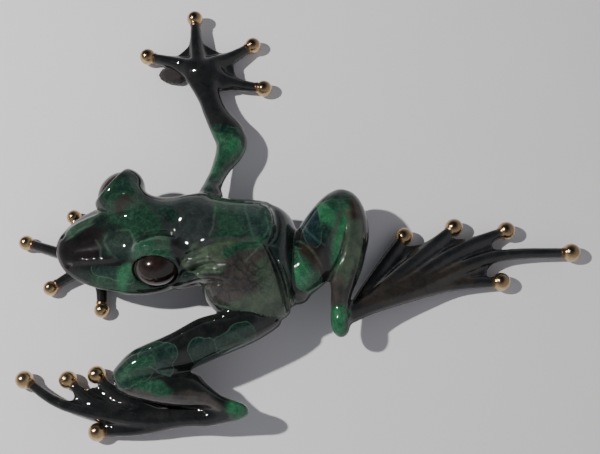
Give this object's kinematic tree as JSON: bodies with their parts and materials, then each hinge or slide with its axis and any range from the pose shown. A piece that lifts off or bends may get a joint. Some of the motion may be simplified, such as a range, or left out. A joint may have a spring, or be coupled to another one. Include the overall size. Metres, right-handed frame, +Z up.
{
  "type": "cast metal tree frog figurine",
  "caption": "Crawling tree frog figurine of joined metal castings with webbed hands and feet, ball toe tips and domed eyes; stands on its toes as a table ornament.",
  "frame": {"origin": "middle of the box round the frog, on the surface that its toe tips rest on", "axes": "+Z up through the back, head towards -X, the stretched hind foot towards +X, the raised hand towards +Y"},
  "size_m": [0.201, 0.1648, 0.028],
  "materials": {
    "green_patina": "mottled green patina under clear gloss lacquer",
    "black_patina": "black patina under clear gloss lacquer",
    "polished_tip": "bright polished",
    "eye_bead": "polished dark stone",
    "rest_pad": "rough brown felt",
    "pin_metal": "plain turned metal"
  },
  "bodies": {
    "root": {"torso_casting": "green_patina", "belly_plug": "pin_metal", "head_casting": "green_patina", "left_eye": "eye_bead", "right_eye": "eye_bead", "right_upper_arm": "green_patina", "right_forearm_and_hand": "black_patina", "right_hand_tips": "polished_tip", "palm_pad": "rest_pad", "left_upper_arm": "green_patina", "left_forearm_and_hand": "black_patina", "left_hand_tips": "polished_tip", "right_thigh": "green_patina", "right_shank": "green_patina", "right_foot": "black_patina", "right_foot_tips": "polished_tip", "left_thigh": "green_patina", "left_shank": "green_patina", "left_foot": "black_patina", "left_foot_tips": "polished_tip", "neck_pin": "pin_metal", "shoulder_pins": "pin_metal", "elbow_pins": "pin_metal", "hip_pins": "pin_metal", "knee_pins": "pin_metal", "ankle_pins": "pin_metal"}
  },
  "joints": []
}
